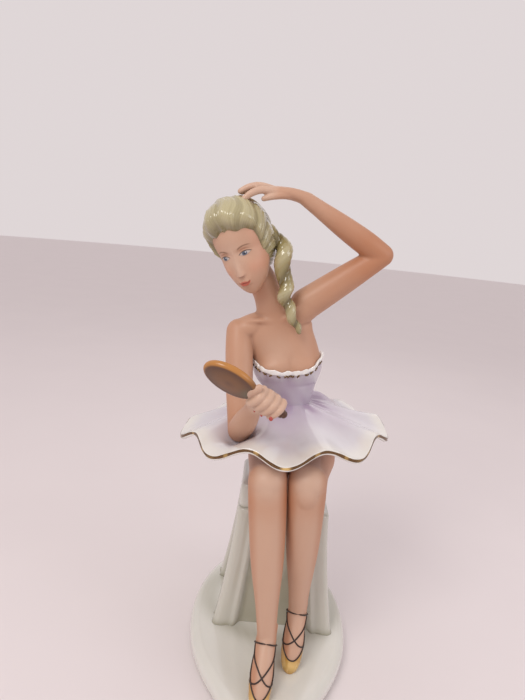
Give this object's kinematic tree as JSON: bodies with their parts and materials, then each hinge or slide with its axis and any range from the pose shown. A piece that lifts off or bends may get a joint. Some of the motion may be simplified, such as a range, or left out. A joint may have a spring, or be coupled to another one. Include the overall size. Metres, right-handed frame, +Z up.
{
  "type": "porcelain figurine",
  "caption": "Glazed porcelain figurine of a dancer in a short ruffled skirt who sits on a flared stool, holds a hand mirror and lays one hand on her hair.",
  "frame": {"origin": "centre of the whole figurine's plan, on the surface that it stands on", "axes": "+Z up; the figure faces -Y; +X is the figure's left"},
  "size_m": [0.1032, 0.138, 0.2358],
  "materials": {
    "glazed_white": "clear gloss glaze over white porcelain",
    "lilac_glaze": "clear gloss glaze over sprayed lilac, gold line at the edges",
    "bisque_skin": "satin, sprayed peach",
    "hair_glaze": "gloss glaze, pale blond with olive in the grooves",
    "mirror_brown": "gloss brown enamel with an ochre rim",
    "slipper_gold": "gloss ochre-gold enamel"
  },
  "bodies": {
    "root": {"base_plinth": "glazed_white", "stool_pedestal": "glazed_white", "stool_seat": "glazed_white", "pelvis": "lilac_glaze", "bodice": "lilac_glaze", "tutu_skirt": "lilac_glaze", "right_thigh": "bisque_skin", "left_thigh": "bisque_skin", "right_lower_leg": "bisque_skin", "left_lower_leg": "bisque_skin", "right_slipper": "slipper_gold", "left_slipper": "slipper_gold", "bust": "bisque_skin", "head": "bisque_skin", "hair_crown": "hair_glaze", "hair_roll": "hair_glaze", "ringlet": "hair_glaze", "right_upper_arm": "bisque_skin", "right_forearm": "bisque_skin", "right_hand": "bisque_skin", "hand_mirror": "mirror_brown", "left_upper_arm": "bisque_skin", "left_forearm": "bisque_skin", "left_hand": "bisque_skin"}
  },
  "joints": []
}
